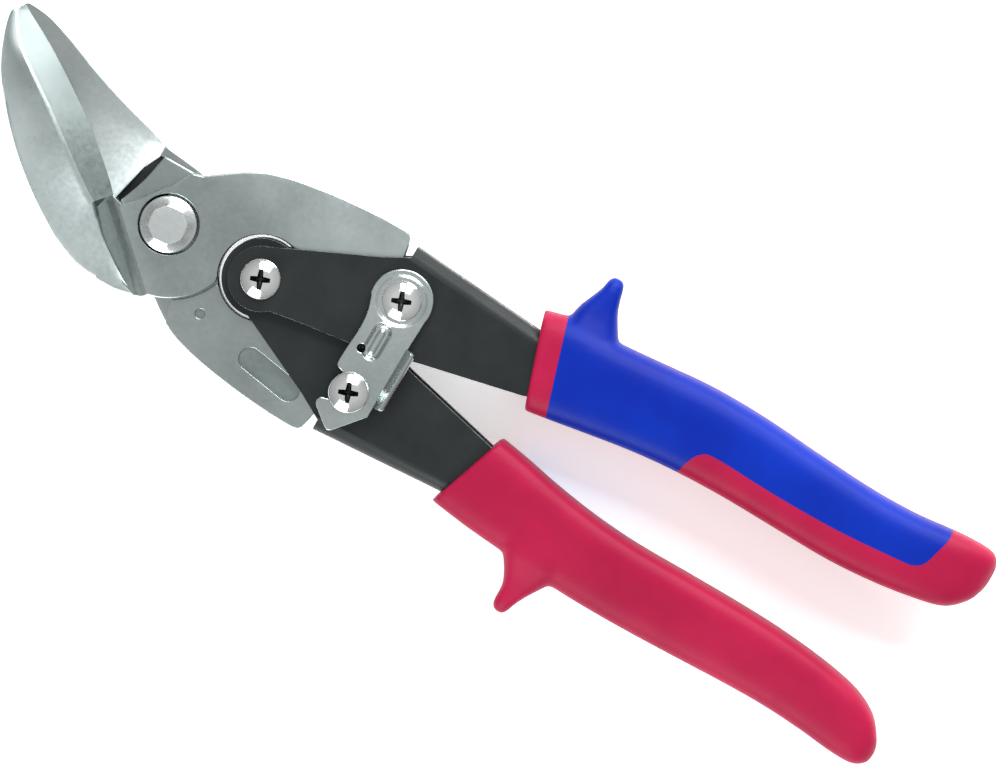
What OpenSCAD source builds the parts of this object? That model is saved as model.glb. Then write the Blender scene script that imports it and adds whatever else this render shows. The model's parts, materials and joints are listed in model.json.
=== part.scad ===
// Aviation snips: compound-leverage offset shears, closed and latched.
// +X runs from the main pivot to the grips, +Y to the upper handle, +Z along the pivots.
// The origin is on the main pivot's axis, at the plane on which the tool lies flat.

/* [Linkage] */
// Distance from the main pivot to the handle pivot
handle_pivot_x = 23; // [22.8:0.1:23.2]
// Distance along the tool from the main pivot to the two link pivots
link_x = 51.5; // [51.2:0.1:51.8]
// Distance from the centre line to each link pivot
link_y = 11.3; // [11.1:0.1:11.5]

/* [Layers] */
// Thickness of the lever sheet
sheet_t = 2; // [1.8:0.1:2]
// Play between neighbouring layers
play = 0.1; // [0.05:0.05:0.1]
// Half the gap between the innermost flanges
core_half = 1.4; // [1.4:0.1:1.6]
// Height of the blades' shared plane above the resting plane
mid_z = 9; // [9:0.5:10]

/* [Blades] */
// Radius of the boss round the main pivot
boss_r = 15.9; // [15.5:0.1:16]
// Height of the lower blade's ridge above the shared plane
ridge_h = 6.5; // [5:0.5:7]

/* [Fasteners] */
// Radius of the main pivot bolt's shank
bolt_r = 4; // [3.5:0.1:4.2]
// Radius of the handle and link screws
screw_r = 2.5; // [2.3:0.1:2.6]
// Radius of the screws' domed heads
head_r = 4.4; // [4:0.1:4.6]
// Radius of the lower link screw's waisted neck, which the latch hooks
neck_r = 1.8; // [1.6:0.1:1.8]

/* [Latch] */
// Thickness of the latch plate
latch_t = 1.3; // [1.2:0.1:1.5]

/* [Grips] */
// Greatest half thickness of the grips
grip_half_t = 9; // [8.5:0.1:9]
// Thickness of the blue moulding over the red core
cover_t = 2; // [1.5:0.1:2]

/* [Hidden] */
$fn = 64;

handle_pivot = [handle_pivot_x, 0];
upper_link = [link_x, link_y];
lower_link = [link_x, -link_y];

// Layers, measured from the shared plane of the blades
inner_top = core_half + sheet_t;
outer_low = inner_top + play;
outer_top = outer_low + sheet_t;
boss_top = inner_top;
face_gap = 0.03;
tail_low = play - core_half;
neck_top = 2.2;
washer_t = 0.5;
latch_low = outer_top + washer_t + 0.05;
latch_rise = 0.5;
latch_top = latch_low + latch_rise + latch_t;

// Fits
pin_play = 0.05;
loop_play = 0.2;

// Colours
steel = [0.72, 0.75, 0.75];
dark_steel = [0.22, 0.25, 0.25];
red = [0.76, 0.17, 0.30];
blue = [0.05, 0.16, 0.72];

// Smooth interpolation through a list of vectors
function blend4(a, b, c, d, t) =
    0.5 * (2 * b + (c - a) * t + (2 * a - 5 * b + 4 * c - d) * t * t
           + (3 * b - a - 3 * c + d) * t * t * t);
function smooth(p, steps) = concat(
    [for (i = [0 : len(p) - 2]) for (k = [0 : steps - 1])
        blend4(p[max(i - 1, 0)], p[i], p[i + 1], p[min(i + 2, len(p) - 1)], k / steps)],
    [p[len(p) - 1]]);

// Closed solid through rings with the same number of points, each anticlockwise seen from
// the end of the list
module loft(rings) {
    n = len(rings[0]);
    m = len(rings);
    sides = [for (i = [0 : m - 2]) for (k = [0 : n - 1]) for (half = [0, 1])
        let (a = i * n + k, b = i * n + (k + 1) % n)
        half == 0 ? [a, b + n, b] : [a, a + n, b + n]];
    caps = [[for (k = [0 : n - 1]) k], [for (k = [n - 1 : -1 : 0]) (m - 1) * n + k]];
    polyhedron([for (r = rings) each r], concat(sides, caps));
}

module at_mid() {
    translate([0, 0, mid_z]) children();
}

// ---- Blades ----

// Tail edge from the boss to the link pivot, then the inner edge back
tail_outline = [
    [-1.1, 12], [1.3, 12.7], [9.9, 18.8], [16.7, 21.5], [20, 22.4], [37.4, 24.4], [45.1, 24.6],
    [46.4, 23.4], [46.9, 21.4], [47.4, 17.5], [50, 4.2], [24.5, 9.3], [14, 4], [0, 0]];
tail_end_r = 7.5;
relief_r = 9.4;
thick_from_r = boss_r + 0.4;

module tail_2d() {
    polygon(tail_outline);
    translate(upper_link) circle(tail_end_r);
}

// Where the tail is thickened: past the boss, and within 60 degrees of the centre line
module thick_zone_2d() {
    difference() {
        polygon([[0, 0], [30, 52], [90, 52], [90, -20], [0, -20]]);
        circle(thick_from_r);
    }
}

module boss_2d() {
    intersection() {
        circle(boss_r);
        polygon([[-10.5, -2.4], [4.5, -16.5], [20, -16.5], [20, 20], [2.9, 18], [-1.1, 12],
                 [-4.2, 6.8], [-8.3, 1.4]]);
    }
}

// Boss and tail of one blade, in the lower blade's place
module blade_root() {
    difference() {
        union() {
            translate([0, 0, face_gap]) linear_extrude(boss_top - face_gap) {
                boss_2d();
                tail_2d();
            }
            translate([0, 0, tail_low]) linear_extrude(boss_top - tail_low) intersection() {
                tail_2d();
                thick_zone_2d();
            }
        }
        translate([handle_pivot_x, 0, -5]) cylinder(h = 10, r = relief_r);
        translate([0, 0, -5]) cylinder(h = 10, r = bolt_r + pin_play);
    }
}

// Each station: outer rim, ridge and cutting edge in plan, then the ridge's height
lower_jaw = [
    [-52.2, 22.6, -50.9, 23.4, -48.8, 24.4, 1.6],
    [-51, 17.4, -46.4, 17.8, -43.4, 21.5, 3.6],
    [-48, 10.8, -41, 13.4, -37.5, 18, 5.2],
    [-43, 4, -35.5, 9.6, -31, 13.7, ridge_h],
    [-36.5, -2.8, -29.8, 5.9, -25, 9.6, ridge_h],
    [-29, -8.9, -24, 2.2, -19.5, 5.2, 6],
    [-20.5, -14.4, -18.5, -2, -14.8, 1, 5],
    [-12.5, -17.6, -14.4, -5.6, -12.4, -1.6, 3.6],
    [-3.5, -18, -9, -9.5, -11, -3, neck_top]];
rim_h = 1.2;
edge_h = 0.7;
function lower_jaw_ring(s) = [
    [s[0], s[1], face_gap], [s[4], s[5], face_gap], [s[4], s[5], edge_h],
    [s[2], s[3], s[6]], [s[0], s[1], rim_h]];

// Each station: outer rim, ridge and cutting edge in plan, then the ridge's depth
upper_jaw = [
    [-49, 26, -49.6, 24.2, -50.2, 22.8, 1.4],
    [-44.2, 25.6, -44.6, 21.4, -44.8, 17.6, 3.4],
    [-38.6, 24, -38.6, 18, -38.4, 13, 5],
    [-32, 21.3, -31.8, 14.4, -31.6, 8.6, ridge_h],
    [-25, 18.2, -24.8, 10.4, -24.2, 4, ridge_h],
    [-18.4, 16.4, -17.6, 7, -16.6, 0, 5.6],
    [-12, 14.7, -11.6, 5, -10.8, -2.4, 4.2],
    [-8.4, 13.9, -8.4, 4.6, -8.2, -4.6, inner_top - play],
    [-3, 13.4, -3, 4, -3, -6, inner_top - play]];
function upper_jaw_ring(s) = [
    [s[0], s[1], -face_gap], [s[4], s[5], -face_gap], [s[4], s[5], -edge_h],
    [s[2], s[3], -s[6]], [s[0], s[1], -rim_h]];

neck_outline = [
    [-12.4, -1.6], [-10.5, -2.4], [-8.3, 1.4], [0, 0], [6, -14.2], [2.5, -16.2], [-1.3, -17.7],
    [-4.4, -18], [-9.4, -18], [-12.5, -17.5]];

// The upper blade's back runs straight over its boss
heel_outline = [[-20, 15.9], [0.3, 13], [16, 12.6], [16, -16], [-20, -16]];

module lower_blade() {
    color(steel) at_mid() difference() {
        union() {
            blade_root();
            loft([for (s = smooth(lower_jaw, 4)) lower_jaw_ring(s)]);
            translate([0, 0, face_gap]) linear_extrude(neck_top - face_gap)
                polygon(neck_outline);
        }
        translate([0, 0, -5]) cylinder(h = 10, r = bolt_r + pin_play);
        translate([link_x, link_y, -5]) cylinder(h = 10, r = screw_r + pin_play);
    }
}

module upper_blade() {
    color(steel) at_mid() difference() {
        union() {
            rotate([180, 0, 0]) blade_root();
            loft([for (s = smooth(upper_jaw, 4)) upper_jaw_ring(s)]);
            translate([0, 0, -boss_top]) linear_extrude(boss_top - face_gap) intersection() {
                circle(boss_r - 0.3);
                polygon(heel_outline);
            }
        }
        translate([0, 0, -5]) cylinder(h = 10, r = bolt_r + pin_play);
        translate([handle_pivot_x, 0, -5]) cylinder(h = 10, r = relief_r);
        translate([link_x, -link_y, -5]) cylinder(h = 10, r = screw_r + loop_play);
        stamped_pill();
    }
}

// Empty stamped recess on the upper blade's tail
pill_centre = [34.7, -17.2];
pill_length = 15.5;
pill_width = 5;
pill_angle = -8.6;
pill_depth = 0.3;

module stamped_pill() {
    half = (pill_length - pill_width) / 2;
    translate([pill_centre[0], pill_centre[1], -tail_low - pill_depth]) rotate(pill_angle) {
        for (side = [-1, 1]) translate([side * half, 0, 0]) cylinder(h = 1, d = pill_width);
        translate([-half, -pill_width / 2, 0]) cube([2 * half, pill_width, 1]);
    }
}

// ---- Main pivot ----

bolt_head_r = 6.2;
bolt_head_h = 2.8;
bolt_crown_r = 4.3;
pivot_washer_t = 1;
pivot_nut_t = 4;

module pivot_bolt() {
    color(steel) at_mid() rotate_extrude() polygon([
        [0, -mid_z], [bolt_r - 0.3, -mid_z], [bolt_r, 0.3 - mid_z], [bolt_r, boss_top],
        [bolt_head_r, boss_top], [bolt_head_r, boss_top + 0.9],
        [bolt_crown_r, boss_top + bolt_head_h], [0, boss_top + bolt_head_h]]);
}

module pivot_washer() {
    color(steel) at_mid() translate([0, 0, -boss_top - play - pivot_washer_t]) difference() {
        cylinder(h = pivot_washer_t, r = 7.6);
        translate([0, 0, -1]) cylinder(h = 3, r = bolt_r + pin_play);
    }
}

module hex_nut(across, t, bore_r) {
    chamfer = 0.5;
    corner_r = across / sqrt(3);
    difference() {
        intersection() {
            cylinder(h = t, r = corner_r, $fn = 6);
            rotate_extrude() polygon([
                [0, 0], [across / 2 - 0.1, 0], [corner_r, chamfer], [corner_r, t], [0, t]]);
        }
        translate([0, 0, -1]) cylinder(h = t + 2, r = bore_r);
    }
}

module pivot_nut() {
    color(steel) at_mid()
        translate([0, 0, -boss_top - play - pivot_washer_t - pivot_nut_t])
        hex_nut(12.8, pivot_nut_t, bolt_r + pin_play / 2);
}

// ---- Levers ----

bend_r = 3;
web_start = [48.6, 22.7];
web_end = [80, 20.4];
tang_x = 165;
// Flange edge of the upper lever, from its front end round the web to the tang and back
flange_outline = [
    [20.2, 6.4], [43.2, 17.2], [48.6, 20.2], web_start, web_end, [84, 20.6], [tang_x, 22],
    [tang_x, 14], [95, 11], [84, 6.6], [61.3, 1.4], [48.4, -2], [34.6, -3.9], [24, -5.8]];
web_outline = [
    web_start, web_end, [84, 20.6], [tang_x, 22], [tang_x, 22 - sheet_t], [84, 20.6 - sheet_t],
    web_end - [0, sheet_t], web_start - [0, sheet_t]];
near_front_r = 7.1;
far_front_r = 8.6;

module flange_2d(front_r) {
    polygon(flange_outline);
    translate(handle_pivot) circle(front_r);
}

// Bar that rounds one bend of the web; the bend's centre line lies on +X
module bend_cut() {
    length = 36;
    difference() {
        cube([length, bend_r + 1, bend_r + 1]);
        translate([-1, 0, 0]) rotate([0, 90, 0]) cylinder(h = length + 2, r = bend_r);
    }
}

module lever() {
    slope = atan2(web_end[1] - web_start[1], web_end[0] - web_start[0]);
    difference() {
        union() {
            translate([0, 0, outer_low]) linear_extrude(sheet_t) flange_2d(near_front_r);
            translate([0, 0, -inner_top]) linear_extrude(sheet_t) flange_2d(far_front_r);
            translate([0, 0, -inner_top]) linear_extrude(inner_top + outer_top)
                polygon(web_outline);
        }
        for (p = [handle_pivot, upper_link])
            translate([p[0], p[1], -10]) cylinder(h = 20, r = screw_r + pin_play);
        translate([web_start[0] - 1, web_start[1], 0]) rotate(slope) {
            translate([0, -bend_r, outer_top - bend_r]) bend_cut();
            mirror([0, 0, 1]) translate([0, -bend_r, inner_top - bend_r]) bend_cut();
        }
    }
}

module upper_lever() {
    color(dark_steel) at_mid() lever();
}

module lower_lever() {
    color(dark_steel) at_mid() rotate([180, 0, 0]) lever();
}

// ---- Screws, nuts and sleeve ----

dome_h = 2.2;
dome_edge_h = 0.5;
recess_depth = 1.5;
nut_across = 8;
nut_t = 3;

// Domed cross-head screw: the head sits on z = seat and the shank ends at z = tip
module domed_screw(seat, tip, shank_r) {
    rise = dome_h - dome_edge_h;
    dome_r = (head_r * head_r + rise * rise) / (2 * rise);
    difference() {
        union() {
            translate([0, 0, tip]) cylinder(h = seat - tip, r = shank_r);
            translate([0, 0, seat]) intersection() {
                cylinder(h = dome_h, r = head_r);
                translate([0, 0, dome_h - dome_r]) sphere(dome_r);
            }
        }
        for (turn = [0, 90]) rotate(turn + 20)
            translate([-2.1, -0.45, seat + dome_h - recess_depth]) cube([4.2, 0.9, 2]);
    }
}

module handle_pivot_screw() {
    color(steel) at_mid() translate(handle_pivot)
        domed_screw(outer_top, -outer_top - nut_t - 0.3, screw_r);
}

module upper_link_screw() {
    color(steel) at_mid() translate(upper_link)
        domed_screw(latch_low + latch_t + 0.05, -inner_top - nut_t - 0.3, screw_r);
}

module lower_link_screw() {
    color(steel) at_mid() translate(lower_link) {
        domed_screw(latch_top + 0.1, inner_top, neck_r);
        translate([0, 0, -outer_top - nut_t - 0.3])
            cylinder(h = outer_top + nut_t + 0.3 + inner_top, r = screw_r);
    }
}

module link_nut(p, top) {
    color(steel) at_mid() translate([p[0], p[1], top - nut_t])
        hex_nut(nut_across, nut_t, screw_r + pin_play / 2);
}

module handle_pivot_nut() {
    link_nut(handle_pivot, -outer_top);
}

module upper_link_nut() {
    link_nut(upper_link, -inner_top);
}

module lower_link_nut() {
    link_nut(lower_link, -outer_top);
}

sleeve_r = 3.3;
sleeve_half = core_half - 0.05;

module handle_pivot_sleeve() {
    color(steel) at_mid() translate([handle_pivot_x, 0, -sleeve_half]) difference() {
        cylinder(h = 2 * sleeve_half, r = sleeve_r);
        translate([0, 0, -1]) cylinder(h = 2 * sleeve_half + 2, r = screw_r + pin_play / 2);
    }
}

// Torsion spring: two turns round the sleeve and one leg towards each blade's tail
wire_r = 0.6;
coil_r = 4.2;
leg_length = 14;
leg_angle = 8;

module return_spring() {
    color(steel) at_mid() translate(handle_pivot) for (side = [-1, 1]) {
        translate([0, 0, side * wire_r]) {
            rotate_extrude() translate([coil_r, 0]) circle(wire_r, $fn = 24);
            translate([0, side * coil_r, 0]) rotate([0, 90, side * leg_angle])
                cylinder(h = leg_length, r = wire_r, $fn = 24);
        }
    }
}

// ---- Latch ----

latch_end_r = 6.8;
slot_r = neck_r + 0.2;
// Slot in the plate: the neck leaves it to the left and a little downwards as the latch swings
slot_outline = [
    [link_x, 0.3 - link_y + slot_r], [48.6, -8.3], [44, -8], [44, -15.5], [46.5, -15.2],
    [48.4, -14.65], [50, -14.05], [link_x, -link_y - slot_r]];
// Main part of the plate below its round end
latch_outline = [
    [46.1, 7.6], [46.6, 2], [46.3, -6], [46.9, -7.4], [48.2, -8.1], [49, -8.4], [57.9, -8.4],
    [57.9, 4.1], [57.9, 12]];
latch_foot = [
    [46.2, -13.9], [46.3, -16], [46.8, -17.2], [51.5, -20.9], [57.9, -14.4], [57.9, -8],
    [51.5, -8]];
tab_length = 14.4;
tab_width = 3.4;

module latch() {
    rise_y = 4.4;
    step_half = 0.8;
    color(steel) at_mid() difference() {
        union() {
            // Low round end on the washer
            translate([0, 0, latch_low]) linear_extrude(latch_t) intersection() {
                union() {
                    translate(upper_link) circle(latch_end_r);
                    polygon(latch_outline);
                }
                translate([40, rise_y - step_half]) square([25, 20]);
            }
            // Raised plate with the slot
            translate([0, 0, latch_low + latch_rise]) linear_extrude(latch_t) {
                intersection() {
                    polygon(latch_outline);
                    translate([40, rise_y + step_half - 30]) square([25, 30]);
                }
                polygon(latch_foot);
            }
            // Folded thumb tab
            translate([57.4, -11.5, latch_low + latch_rise]) rotate([0, -50, 0])
                cube([tab_width, tab_length, latch_t]);
        }
        translate([link_x, link_y, 0]) cylinder(h = 20, r = screw_r + pin_play);
        translate([link_x, -link_y, 0]) cylinder(h = 20, r = slot_r);
        linear_extrude(20) polygon(slot_outline);
        translate([49.1, -1.75, 0]) cylinder(h = 20, r = 0.9);
    }
}

module latch_washer() {
    color(steel) at_mid() translate([link_x, link_y, outer_top]) difference() {
        cylinder(h = washer_t, r = 5);
        translate([0, 0, -1]) cylinder(h = 3, r = screw_r + pin_play);
    }
}

// ---- Grips ----

// Each station of a grip: lower edge, upper edge, half thickness
upper_grip = [
    [85.9, 3.8, 78.9, 24.6, 7.6],
    [92, 4.8, 86, 26.2, 8.2],
    [100, 6.2, 95.5, 26.4, 8.6],
    [110, 7.8, 107, 27.4, 8.8],
    [120, 8.8, 118, 28.4, grip_half_t],
    [132, 9.2, 131, 28.4, grip_half_t],
    [146, 9, 146, 27.4, grip_half_t],
    [158, 8.9, 159, 26.7, 8.9],
    [168, 9.6, 169.5, 26.9, 8.7],
    [177, 10.9, 178.5, 27.9, 8.3],
    [184.5, 12.8, 184.5, 28.3, 7.2],
    [188.7, 16.6, 188.6, 27.9, 5],
    [190.4, 20.6, 190.4, 25.4, 2]];
lower_grip = [
    [78.4, -23, 84.9, -3.8, 7.6],
    [88, -24.2, 92, -5, 8.2],
    [98, -25, 100, -6.6, 8.6],
    [109, -26, 110, -8.1, 8.9],
    [121, -26.3, 121, -8.9, grip_half_t],
    [135, -26, 135, -8.9, grip_half_t],
    [150, -25.4, 150, -9, grip_half_t],
    [161, -25.2, 160, -9.5, 8.9],
    [171, -25.7, 170, -10.6, 8.7],
    [179, -26.5, 178, -12.3, 8.2],
    [184.5, -26.5, 183.5, -15.1, 7],
    [187.2, -25, 186.7, -18.9, 4.6],
    [187.9, -23.4, 187.9, -21.4, 2]];
grip_sides = 28;
grip_power = 0.72;

// Thickness of red between the tang and the blue walls, play round the tang, and the level
// of the blue walls' edge on each grip
side_wall = 0.9;
pocket_play = 0.06;
upper_parting = -1;
lower_parting = 3;

// Rounded box section between the two edges of a station
function soft(v) = sign(v) * pow(abs(v), grip_power);
function grip_ring(s) =
    let (a = [s[0], s[1]], b = [s[2], s[3]], mid = (a + b) / 2, half = (b - a) / 2)
    [for (k = [0 : grip_sides - 1]) let (w = 360 * k / grip_sides, c = soft(cos(w)))
        [mid[0] + half[0] * c, mid[1] + half[1] * c, s[4] * soft(sin(w))]];

module grip_solid(stations) {
    loft([for (s = smooth(stations, 2)) grip_ring(s)]);
}

// Finger stop: a fin from a wide root to a round tip
module finger_stop(tip, root_a, root_b) {
    hull() {
        for (z = [-2.4, 2.4]) translate([tip[0], tip[1], z]) sphere(2, $fn = 24);
        for (p = [root_a, root_b], z = [-4.5, 4.5])
            translate([p[0], p[1], z]) sphere(1.5, $fn = 16);
    }
}

// Plan of the tang and of the pocket round it
module tang_2d(grow) {
    polygon([[74, 21.1 + grow], [80, 20.5 + grow], [84, 20.6 + grow],
             [tang_x + grow, 22 + grow], [tang_x + grow, 14 - grow], [95, 11 - grow],
             [84, 6.6 - grow], [74, 4.1 - grow]]);
}

module tang_pocket() {
    translate([0, 0, -inner_top - pocket_play])
        linear_extrude(inner_top + outer_top + 2 * pocket_play) tang_2d(pocket_play);
}

// Blue area of each grip in plan, seen from the side that carries it
upper_cover_outline = [
    [83.6, 28], [91.6, 2], [119.9, 2], [119.9, 9.2], [120.9, 9.9], [121.5, 12.3], [123, 15],
    [125.4, 16.2], [155.3, 15.8], [169.8, 16.9], [174.3, 17.5], [176.2, 18.8], [178.1, 25.7],
    [178, 41], [83.6, 41]];
lower_cover_outline = [
    [83.6, 31], [91.6, 2], [119.9, 2], [120.9, 9.7], [121.5, 12.3], [123, 15], [125.4, 16.2],
    [155.3, 15.8], [168, 16.5], [172.6, 17.2], [174.6, 18.6], [176.4, 25.2], [176.2, 31],
    [112, 31], [109, 24.4], [97, 23.4], [95, 31]];
stop_outline = [[83.6, 27.2], [96.4, 27.2], [96.4, 41], [83.6, 41]];

// Room of the blue moulding: a skin over the tang, and the walls on both sides of it
module cover_room(outline, parting) {
    translate([0, 0, grip_half_t - cover_t - 0.5]) linear_extrude(20) polygon(outline);
    translate([0, 0, parting]) linear_extrude(20) difference() {
        polygon(outline);
        tang_2d(side_wall);
    }
}

module upper_cover_room() {
    cover_room(upper_cover_outline, upper_parting);
    translate([0, 0, -20]) linear_extrude(40) polygon(stop_outline);
}

module upper_grip_solid() {
    grip_solid(upper_grip);
    finger_stop([89.2, 36.6], [86, 27], [92.4, 27]);
    finger_stop([89.2, 31], [83.6, 24], [96.6, 24.6]);
}

module upper_grip_cover() {
    color(blue) at_mid() difference() {
        intersection() {
            upper_grip_solid();
            upper_cover_room();
        }
        tang_pocket();
    }
}

module upper_grip_body() {
    color(red) at_mid() difference() {
        upper_grip_solid();
        upper_cover_room();
        tang_pocket();
    }
}

module lower_grip_solid() {
    grip_solid(lower_grip);
    finger_stop([102.6, -34.9], [101.2, -25.5], [106.6, -26]);
    finger_stop([103.6, -30], [97, -22.6], [109.4, -24]);
}

module lower_grip_cover() {
    color(blue) at_mid() difference() {
        intersection() {
            lower_grip_solid();
            rotate([180, 0, 0]) cover_room(lower_cover_outline, lower_parting);
        }
        rotate([180, 0, 0]) tang_pocket();
    }
}

module lower_grip_body() {
    color(red) at_mid() difference() {
        lower_grip_solid();
        rotate([180, 0, 0]) cover_room(lower_cover_outline, lower_parting);
        rotate([180, 0, 0]) tang_pocket();
    }
}

lower_blade();
upper_blade();
pivot_bolt();
pivot_washer();
pivot_nut();
upper_lever();
lower_lever();
handle_pivot_screw();
handle_pivot_sleeve();
handle_pivot_nut();
return_spring();
upper_link_screw();
upper_link_nut();
lower_link_screw();
lower_link_nut();
latch();
latch_washer();
upper_grip_body();
upper_grip_cover();
lower_grip_body();
lower_grip_cover();
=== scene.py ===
import bpy
import bmesh
import json
import math
import numpy as np
from mathutils import Vector, Matrix


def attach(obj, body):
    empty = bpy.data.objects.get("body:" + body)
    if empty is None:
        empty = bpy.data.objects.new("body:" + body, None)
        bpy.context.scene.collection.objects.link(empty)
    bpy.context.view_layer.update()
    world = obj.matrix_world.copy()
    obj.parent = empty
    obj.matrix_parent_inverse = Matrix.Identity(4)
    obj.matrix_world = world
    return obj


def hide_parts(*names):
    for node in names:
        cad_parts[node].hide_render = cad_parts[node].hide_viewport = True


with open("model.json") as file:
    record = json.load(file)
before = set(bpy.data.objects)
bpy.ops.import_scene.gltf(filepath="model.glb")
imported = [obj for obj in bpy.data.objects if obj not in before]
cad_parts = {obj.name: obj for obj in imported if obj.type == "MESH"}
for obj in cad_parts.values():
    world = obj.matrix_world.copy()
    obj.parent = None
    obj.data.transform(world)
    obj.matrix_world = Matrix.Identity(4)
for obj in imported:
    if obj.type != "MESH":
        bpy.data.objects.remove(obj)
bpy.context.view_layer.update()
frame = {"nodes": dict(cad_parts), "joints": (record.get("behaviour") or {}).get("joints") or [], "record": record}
NODES = frame["nodes"]
JOINT_AT = {j["name"]: Vector(j["pos_m"]) for j in frame["joints"]}

# Lengths below are in millimetres, measured from the blades' shared plane on the main pivot.
# P1, P2 and P3 are the handle pivot, the upper link screw and the lower link screw in plan.
MM = 0.001
MID_Z = JOINT_AT["handle_hinge"].z
P1 = JOINT_AT["handle_hinge"].xy / MM
P2 = JOINT_AT["upper_link_hinge"].xy / MM
P3 = Vector((P2.x, -P2.y))


# ---------------------------------------------------------------- materials

# Sockets of the colour mix node, which have no names of their own
MIX_SHARE = 0
MIX_FIRST = 6
MIX_SECOND = 7
MIX_COLOR = 2
# Noise values outside this band are clipped
NOISE_BAND = (0.3, 0.7)
STEEL_GRAIN = 1000
# How the edges of the CAD pieces that are kept are welded and rounded, in millimetres and degrees
EDGE_ROUND = 0.25
EDGE_ANGLE = 35
WELD_WITHIN = 0.002


def principled(name, color, metallic, roughness, specular=0.5):
    """A material with plain values on its shader."""
    material = bpy.data.materials.new(name)
    material.use_nodes = True
    shader = material.node_tree.nodes["Principled BSDF"]
    shader.inputs["Base Color"].default_value = (*color, 1)
    shader.inputs["Metallic"].default_value = metallic
    shader.inputs["Roughness"].default_value = roughness
    shader.inputs["Specular IOR Level"].default_value = specular
    return material


class Nodes:
    """Short names for building a material's node tree."""

    def __init__(self, material):
        self.tree = material.node_tree
        self.shader = self.tree.nodes["Principled BSDF"]
        self.place = self.new("ShaderNodeTexCoord").outputs["Object"]

    def new(self, kind, **settings):
        node = self.tree.nodes.new(kind)
        for key, value in settings.items():
            setattr(node, key, value)
        return node

    def link(self, a, b):
        self.tree.links.new(a, b)

    def noise(self, scale, detail):
        node = self.new("ShaderNodeTexNoise")
        node.inputs["Scale"].default_value = scale
        node.inputs["Detail"].default_value = detail
        self.link(self.place, node.inputs["Vector"])
        return node.outputs["Fac"]

    def spread(self, value, low, high, start=NOISE_BAND[0], end=NOISE_BAND[1]):
        """Maps start to end onto low to high."""
        node = self.new("ShaderNodeMapRange")
        node.inputs["From Min"].default_value = start
        node.inputs["From Max"].default_value = end
        node.inputs["To Min"].default_value = low
        node.inputs["To Max"].default_value = high
        self.link(value, node.inputs["Value"])
        return node.outputs["Result"]

    def mix(self, share, first, second):
        node = self.new("ShaderNodeMix", data_type="RGBA")
        node.inputs[MIX_FIRST].default_value = (*first, 1)
        node.inputs[MIX_SECOND].default_value = (*second, 1)
        self.link(share, node.inputs[MIX_SHARE])
        return node.outputs[MIX_COLOR]

    def painted_shading(self, color, way, levels):
        """Painted shading: scales color by place along the direction way; levels are (place, share) pairs."""
        along = self.new("ShaderNodeVectorMath", operation="DOT_PRODUCT")
        along.inputs[1].default_value = way
        self.link(self.place, along.inputs[0])
        tone = self.new("ShaderNodeValToRGB")
        stops = tone.color_ramp.elements
        (start, first), *between, (end, last) = levels
        stops[0].color = (first, first, first, 1)
        stops[1].color = (last, last, last, 1)
        for place, level in between:
            stops.new((place - start) / (end - start)).color = (level, level, level, 1)
        self.link(self.spread(along.outputs["Value"], 0, 1, start, end), tone.inputs["Fac"])
        product = self.new("ShaderNodeMix", data_type="RGBA", blend_type="MULTIPLY")
        product.inputs[MIX_SHARE].default_value = 1
        self.link(color, product.inputs[MIX_FIRST])
        self.link(tone.outputs["Color"], product.inputs[MIX_SECOND])
        return product.outputs[MIX_COLOR]

    def bump(self, value, strength, distance):
        node = self.new("ShaderNodeBump")
        node.inputs["Strength"].default_value = strength
        node.inputs["Distance"].default_value = distance
        self.link(value, node.inputs["Height"])
        return node.outputs["Normal"]

    def into(self, value, socket):
        self.link(value, self.shader.inputs[socket])


def metal(name, low, high, rough, cloud=70.0, painted_shading=None):
    """Steel whose tone clouds between low and high and whose roughness has a fine grain, with painted shading
    along one direction if that is given.
    """
    material = principled(name, high, 1.0, rough[0])
    n = Nodes(material)
    tone = n.mix(n.spread(n.noise(cloud, 4), 0, 1), low, high)
    n.into(n.painted_shading(tone, *painted_shading) if painted_shading else tone, "Base Color")
    n.into(n.spread(n.noise(STEEL_GRAIN, 2), *rough), "Roughness")
    return material


def grained(material, low, high, rough, cloud, grain, depth, distance):
    """Clouded colour, and a grain of bumps that also varies the roughness."""
    n = Nodes(material)
    n.into(n.mix(n.spread(n.noise(*cloud), 0, 1), low, high), "Base Color")
    fine = n.noise(grain, 2)
    n.into(n.spread(fine, *rough), "Roughness")
    n.into(n.bump(fine, depth, distance), "Normal")
    return material


def coated(name, low, high, rough):
    """Black coating with a fine grain."""
    material = principled(name, high, 0.3, rough[0], specular=0.35)
    return grained(material, low, high, rough, cloud=(120, 4), grain=3500, depth=0.12,
                   distance=0.00006)


def moulded(name, low, high, rough):
    """Grip plastic with a fine spark-eroded texture."""
    material = principled(name, high, 0.0, rough[0], specular=0.12)
    return grained(material, low, high, rough, cloud=(45, 3), grain=2600, depth=0.25,
                   distance=0.0001)


# Each: darker and lighter colour, then lowest and highest roughness
# The blade steel carries painted shading: darker across the middle of the blades, lighter towards the jaws' tips
# and the tail's end.
STEEL = metal("blade_steel", (0.49, 0.565, 0.56), (0.66, 0.75, 0.745), (0.27, 0.35),
              painted_shading=((10, 10, 0), [(-0.35, 1.0), (-0.2, 0.88), (-0.08, 0.62), (0.15, 0.57),
                                   (0.5, 0.95)]))
# A lighter copy of the blade steel for the upper jaw's near face: a painted highlight near the heel, with painted
# shade darkening it towards the tip.
JAW_FACE_LIT = metal("jaw_face_painted_light", (0.74, 0.84, 0.835), (0.85, 0.93, 0.925), (0.30, 0.38),
               painted_shading=((20, 0, 0), [(-1, 0.44), (-0.7, 0.48), (-0.42, 0.7), (-0.3, 0.83)]))
# Darker steel laid on the lower jaw's land as painted shade.
LAND_SHADE_STEEL = metal("land_painted_shade", (0.21, 0.25, 0.245), (0.29, 0.335, 0.33), (0.36, 0.44))
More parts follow.
